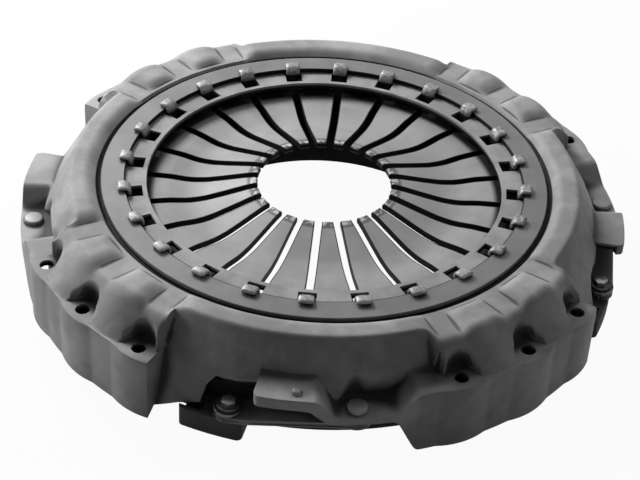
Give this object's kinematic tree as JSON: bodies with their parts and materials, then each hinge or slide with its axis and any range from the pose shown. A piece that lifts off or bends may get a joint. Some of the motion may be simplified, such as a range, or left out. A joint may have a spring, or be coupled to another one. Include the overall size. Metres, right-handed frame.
{
  "type": "clutch pressure plate",
  "caption": "Truck clutch pressure plate: pressed cover, diaphragm spring held by bent lugs, cast plate hung on leaf straps.",
  "frame": {"origin": "on the clutch axis, in the plane of the cover's mounting face on the flywheel", "axes": "+Z along the clutch axis towards the gearbox; +X through the middle of a strap bay"},
  "size_m": [0.47, 0.47, 0.079],
  "materials": {
    "cover_steel": "satin",
    "ring_steel": "satin",
    "lug_steel": "satin",
    "wire_steel": "satin",
    "rivet_steel": "satin",
    "cast_iron": "machined and matt",
    "bolt_steel": "zinc satin",
    "strap_steel": "satin",
    "spring_steel": "shot-peened satin"
  },
  "bodies": {
    "housing": {"cover": "cover_steel", "clamping_ring": "ring_steel", "support_ring": "lug_steel", "upper_fulcrum_ring": "wire_steel", "lower_fulcrum_ring": "wire_steel", "cover_rivets": "rivet_steel", "balance_rivet": "rivet_steel"},
    "plate": {"pressure_plate": "cast_iron", "plate_bolts": "bolt_steel", "bolt_washers": "bolt_steel", "strap_pack_right": "strap_steel", "strap_pack_back": "strap_steel", "strap_pack_left": "strap_steel", "strap_pack_front": "strap_steel"},
    "lever_01": {"diaphragm_lever_01": "spring_steel"},
    "lever_02": {"diaphragm_lever_02": "spring_steel"},
    "lever_03": {"diaphragm_lever_03": "spring_steel"},
    "lever_04": {"diaphragm_lever_04": "spring_steel"},
    "lever_05": {"diaphragm_lever_05": "spring_steel"},
    "lever_06": {"diaphragm_lever_06": "spring_steel"},
    "lever_07": {"diaphragm_lever_07": "spring_steel"},
    "lever_08": {"diaphragm_lever_08": "spring_steel"},
    "lever_09": {"diaphragm_lever_09": "spring_steel"},
    "lever_10": {"diaphragm_lever_10": "spring_steel"},
    "lever_11": {"diaphragm_lever_11": "spring_steel"},
    "lever_12": {"diaphragm_lever_12": "spring_steel"},
    "lever_13": {"diaphragm_lever_13": "spring_steel"},
    "lever_14": {"diaphragm_lever_14": "spring_steel"},
    "lever_15": {"diaphragm_lever_15": "spring_steel"},
    "lever_16": {"diaphragm_lever_16": "spring_steel"},
    "lever_17": {"diaphragm_lever_17": "spring_steel"},
    "lever_18": {"diaphragm_lever_18": "spring_steel"},
    "lever_19": {"diaphragm_lever_19": "spring_steel"},
    "lever_20": {"diaphragm_lever_20": "spring_steel"},
    "lever_21": {"diaphragm_lever_21": "spring_steel"},
    "lever_22": {"diaphragm_lever_22": "spring_steel"},
    "lever_23": {"diaphragm_lever_23": "spring_steel"},
    "lever_24": {"diaphragm_lever_24": "spring_steel"}
  },
  "joints": [
    {"name": "plate_lift", "type": "slide", "parent": "housing", "child": "plate", "axis": [0, 0, 1], "range_m": [0, 0.005], "deforming": ["strap_pack_right", "strap_pack_back", "strap_pack_left", "strap_pack_front"]},
    {"name": "lever_01_tilt", "type": "hinge", "parent": "housing", "child": "lever_01", "pos_m": [0.15566, 0.02049, 0.0584], "axis": [0.1305, -0.9914, 0], "range_deg": [0, 9.6]},
    {"name": "lever_02_tilt", "type": "hinge", "parent": "housing", "child": "lever_02", "pos_m": [0.14505, 0.06008, 0.0584], "axis": [0.3827, -0.9239, 0], "range_deg": [0, 9.6]},
    {"name": "lever_03_tilt", "type": "hinge", "parent": "housing", "child": "lever_03", "pos_m": [0.12456, 0.09558, 0.0584], "axis": [0.6088, -0.7934, 0], "range_deg": [0, 9.6]},
    {"name": "lever_04_tilt", "type": "hinge", "parent": "housing", "child": "lever_04", "pos_m": [0.09558, 0.12456, 0.0584], "axis": [0.7934, -0.6088, 0], "range_deg": [0, 9.6]},
    {"name": "lever_05_tilt", "type": "hinge", "parent": "housing", "child": "lever_05", "pos_m": [0.06008, 0.14505, 0.0584], "axis": [0.9239, -0.3827, 0], "range_deg": [0, 9.6]},
    {"name": "lever_06_tilt", "type": "hinge", "parent": "housing", "child": "lever_06", "pos_m": [0.02049, 0.15566, 0.0584], "axis": [0.9914, -0.1305, 0], "range_deg": [0, 9.6]},
    {"name": "lever_07_tilt", "type": "hinge", "parent": "housing", "child": "lever_07", "pos_m": [-0.02049, 0.15566, 0.0584], "axis": [0.9914, 0.1305, 0], "range_deg": [0, 9.6]},
    {"name": "lever_08_tilt", "type": "hinge", "parent": "housing", "child": "lever_08", "pos_m": [-0.06008, 0.14505, 0.0584], "axis": [0.9239, 0.3827, 0], "range_deg": [0, 9.6]},
    {"name": "lever_09_tilt", "type": "hinge", "parent": "housing", "child": "lever_09", "pos_m": [-0.09558, 0.12456, 0.0584], "axis": [0.7934, 0.6088, 0], "range_deg": [0, 9.6]},
    {"name": "lever_10_tilt", "type": "hinge", "parent": "housing", "child": "lever_10", "pos_m": [-0.12456, 0.09558, 0.0584], "axis": [0.6088, 0.7934, 0], "range_deg": [0, 9.6]},
    {"name": "lever_11_tilt", "type": "hinge", "parent": "housing", "child": "lever_11", "pos_m": [-0.14505, 0.06008, 0.0584], "axis": [0.3827, 0.9239, 0], "range_deg": [0, 9.6]},
    {"name": "lever_12_tilt", "type": "hinge", "parent": "housing", "child": "lever_12", "pos_m": [-0.15566, 0.02049, 0.0584], "axis": [0.1305, 0.9914, 0], "range_deg": [0, 9.6]},
    {"name": "lever_13_tilt", "type": "hinge", "parent": "housing", "child": "lever_13", "pos_m": [-0.15566, -0.02049, 0.0584], "axis": [-0.1305, 0.9914, 0], "range_deg": [0, 9.6]},
    {"name": "lever_14_tilt", "type": "hinge", "parent": "housing", "child": "lever_14", "pos_m": [-0.14505, -0.06008, 0.0584], "axis": [-0.3827, 0.9239, 0], "range_deg": [0, 9.6]},
    {"name": "lever_15_tilt", "type": "hinge", "parent": "housing", "child": "lever_15", "pos_m": [-0.12456, -0.09558, 0.0584], "axis": [-0.6088, 0.7934, 0], "range_deg": [0, 9.6]},
    {"name": "lever_16_tilt", "type": "hinge", "parent": "housing", "child": "lever_16", "pos_m": [-0.09558, -0.12456, 0.0584], "axis": [-0.7934, 0.6088, 0], "range_deg": [0, 9.6]},
    {"name": "lever_17_tilt", "type": "hinge", "parent": "housing", "child": "lever_17", "pos_m": [-0.06008, -0.14505, 0.0584], "axis": [-0.9239, 0.3827, 0], "range_deg": [0, 9.6]},
    {"name": "lever_18_tilt", "type": "hinge", "parent": "housing", "child": "lever_18", "pos_m": [-0.02049, -0.15566, 0.0584], "axis": [-0.9914, 0.1305, 0], "range_deg": [0, 9.6]},
    {"name": "lever_19_tilt", "type": "hinge", "parent": "housing", "child": "lever_19", "pos_m": [0.02049, -0.15566, 0.0584], "axis": [-0.9914, -0.1305, 0], "range_deg": [0, 9.6]},
    {"name": "lever_20_tilt", "type": "hinge", "parent": "housing", "child": "lever_20", "pos_m": [0.06008, -0.14505, 0.0584], "axis": [-0.9239, -0.3827, 0], "range_deg": [0, 9.6]},
    {"name": "lever_21_tilt", "type": "hinge", "parent": "housing", "child": "lever_21", "pos_m": [0.09558, -0.12456, 0.0584], "axis": [-0.7934, -0.6088, 0], "range_deg": [0, 9.6]},
    {"name": "lever_22_tilt", "type": "hinge", "parent": "housing", "child": "lever_22", "pos_m": [0.12456, -0.09558, 0.0584], "axis": [-0.6088, -0.7934, 0], "range_deg": [0, 9.6]},
    {"name": "lever_23_tilt", "type": "hinge", "parent": "housing", "child": "lever_23", "pos_m": [0.14505, -0.06008, 0.0584], "axis": [-0.3827, -0.9239, 0], "range_deg": [0, 9.6]},
    {"name": "lever_24_tilt", "type": "hinge", "parent": "housing", "child": "lever_24", "pos_m": [0.15566, -0.02049, 0.0584], "axis": [-0.1305, -0.9914, 0], "range_deg": [0, 9.6]}
  ],
  "couplings": [
    {"joint": "lever_01_tilt", "follows": "plate_lift", "rad_per_m": 33.333},
    {"joint": "lever_02_tilt", "follows": "plate_lift", "rad_per_m": 33.333},
    {"joint": "lever_03_tilt", "follows": "plate_lift", "rad_per_m": 33.333},
    {"joint": "lever_04_tilt", "follows": "plate_lift", "rad_per_m": 33.333},
    {"joint": "lever_05_tilt", "follows": "plate_lift", "rad_per_m": 33.333},
    {"joint": "lever_06_tilt", "follows": "plate_lift", "rad_per_m": 33.333},
    {"joint": "lever_07_tilt", "follows": "plate_lift", "rad_per_m": 33.333},
    {"joint": "lever_08_tilt", "follows": "plate_lift", "rad_per_m": 33.333},
    {"joint": "lever_09_tilt", "follows": "plate_lift", "rad_per_m": 33.333},
    {"joint": "lever_10_tilt", "follows": "plate_lift", "rad_per_m": 33.333},
    {"joint": "lever_11_tilt", "follows": "plate_lift", "rad_per_m": 33.333},
    {"joint": "lever_12_tilt", "follows": "plate_lift", "rad_per_m": 33.333},
    {"joint": "lever_13_tilt", "follows": "plate_lift", "rad_per_m": 33.333},
    {"joint": "lever_14_tilt", "follows": "plate_lift", "rad_per_m": 33.333},
    {"joint": "lever_15_tilt", "follows": "plate_lift", "rad_per_m": 33.333},
    {"joint": "lever_16_tilt", "follows": "plate_lift", "rad_per_m": 33.333},
    {"joint": "lever_17_tilt", "follows": "plate_lift", "rad_per_m": 33.333},
    {"joint": "lever_18_tilt", "follows": "plate_lift", "rad_per_m": 33.333},
    {"joint": "lever_19_tilt", "follows": "plate_lift", "rad_per_m": 33.333},
    {"joint": "lever_20_tilt", "follows": "plate_lift", "rad_per_m": 33.333},
    {"joint": "lever_21_tilt", "follows": "plate_lift", "rad_per_m": 33.333},
    {"joint": "lever_22_tilt", "follows": "plate_lift", "rad_per_m": 33.333},
    {"joint": "lever_23_tilt", "follows": "plate_lift", "rad_per_m": 33.333},
    {"joint": "lever_24_tilt", "follows": "plate_lift", "rad_per_m": 33.333}
  ]
}
